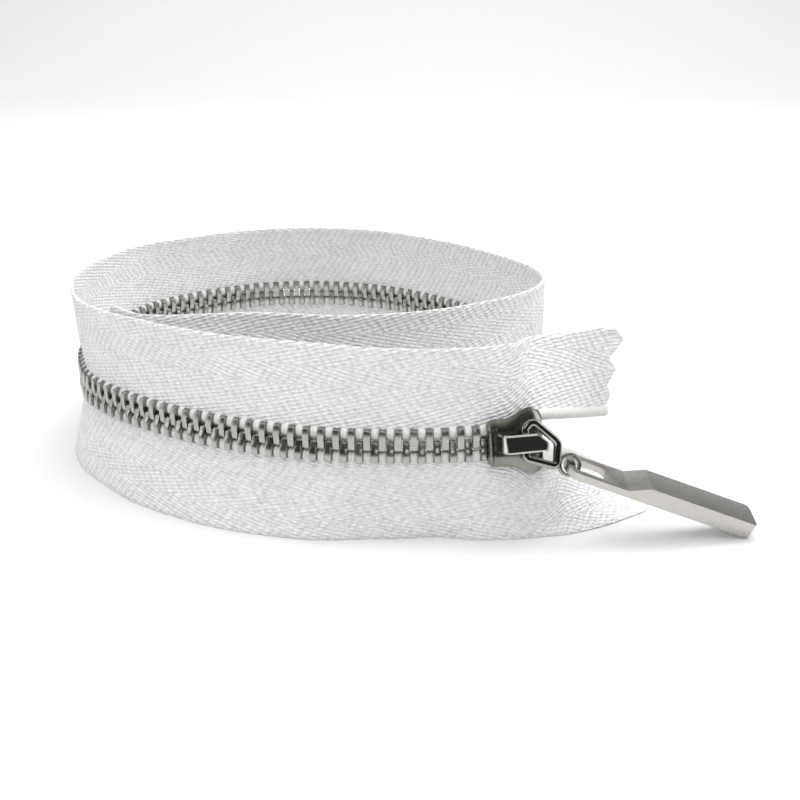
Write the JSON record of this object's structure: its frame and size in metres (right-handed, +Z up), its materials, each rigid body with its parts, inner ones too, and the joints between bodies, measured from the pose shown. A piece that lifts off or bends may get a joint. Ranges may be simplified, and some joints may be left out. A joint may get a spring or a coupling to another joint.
{
  "type": "metal zipper",
  "caption": "Closed-end metal tooth zipper on woven tape, standing on edge and bent into an open loop, with an auto-lock slider, a swinging ring and a long slotted pull.",
  "frame": {"origin": "centre of the bounding box in plan, on the surface the tape edge stands on", "axes": "+Z up across the tapes, -Y towards the front stretch with the slider, +X towards the open end"},
  "size_m": [0.127, 0.1052, 0.033],
  "materials": {
    "tape": "woven cotton twill, white",
    "teeth": "bright nickel-silver",
    "slider": "polished nickel",
    "pull": "satin nickel",
    "lock": "plain nickel"
  },
  "bodies": {
    "chain": {"upper_tape": "tape", "lower_tape": "tape", "bottom_stop": "teeth", "upper_teeth_04": "teeth", "upper_teeth_05": "teeth", "upper_teeth_06": "teeth", "upper_teeth_07": "teeth", "upper_teeth_08": "teeth", "upper_teeth_09": "teeth", "upper_teeth_10": "teeth", "upper_teeth_11": "teeth", "upper_teeth_12": "teeth", "upper_teeth_13": "teeth", "upper_teeth_14": "teeth", "upper_teeth_15": "teeth", "lower_teeth_04": "teeth", "lower_teeth_05": "teeth", "lower_teeth_06": "teeth", "lower_teeth_07": "teeth", "lower_teeth_08": "teeth", "lower_teeth_09": "teeth", "lower_teeth_10": "teeth", "lower_teeth_11": "teeth", "lower_teeth_12": "teeth", "lower_teeth_13": "teeth", "lower_teeth_14": "teeth", "lower_teeth_15": "teeth"},
    "slider": {"slider_body": "slider", "crown": "slider", "lock_spring": "lock"},
    "upper_stringer_end": {"upper_tape_top_end": "tape", "upper_top_stop": "teeth", "upper_teeth_01": "teeth", "upper_teeth_02": "teeth", "upper_teeth_03": "teeth"},
    "lower_stringer_end": {"lower_tape_top_end": "tape", "lower_top_stop": "teeth", "lower_teeth_01": "teeth", "lower_teeth_02": "teeth", "lower_teeth_03": "teeth"},
    "lock": {"lock_pin": "lock"},
    "ring": {"pull_ring": "slider"},
    "pull": {"puller": "pull"}
  },
  "joints": [
    {"name": "slider_travel", "type": "hinge", "parent": "chain", "child": "slider", "pos_m": [0.00543, 0.03002, 0.0169], "axis": [0, 0, 1], "range_deg": [-40, 0], "deforming": ["upper_tape_top_end", "lower_tape_top_end", "upper_top_stop", "lower_top_stop", "upper_teeth_01", "upper_teeth_02", "upper_teeth_03", "lower_teeth_01", "lower_teeth_02", "lower_teeth_03"]},
    {"name": "upper_stringer_opening", "type": "hinge", "parent": "chain", "child": "upper_stringer_end", "pos_m": [-0.03524, -0.03654, 0.018], "axis": [0.5214, 0.8533, 0], "range_deg": [0, 11]},
    {"name": "lower_stringer_opening", "type": "hinge", "parent": "chain", "child": "lower_stringer_end", "pos_m": [-0.02456, -0.04198, 0.015], "axis": [0, 0, 1], "range_deg": [0, 7]},
    {"name": "ring_swing", "type": "hinge", "parent": "slider", "child": "ring", "pos_m": [0.02383, -0.04948, 0.01793], "axis": [0.0603, -0.269, -0.9613], "range_deg": [0, 115]},
    {"name": "lock_lift", "type": "slide", "parent": "slider", "child": "lock", "axis": [0.2103, -0.938, 0.2756], "range_m": [0, 0.00035]},
    {"name": "puller_swing", "type": "hinge", "parent": "ring", "child": "pull", "pos_m": [0.03131, -0.04902, 0.0138], "axis": [0.0109, -0.9812, -0.1927], "range_deg": [0, 105]}
  ],
  "couplings": [
    {"joint": "upper_stringer_opening", "follows": "slider_travel", "ratio": -0.275},
    {"joint": "lower_stringer_opening", "follows": "slider_travel", "ratio": -0.175},
    {"joint": "lock_lift", "follows": "ring_swing", "m_per_rad": 0.00017}
  ]
}
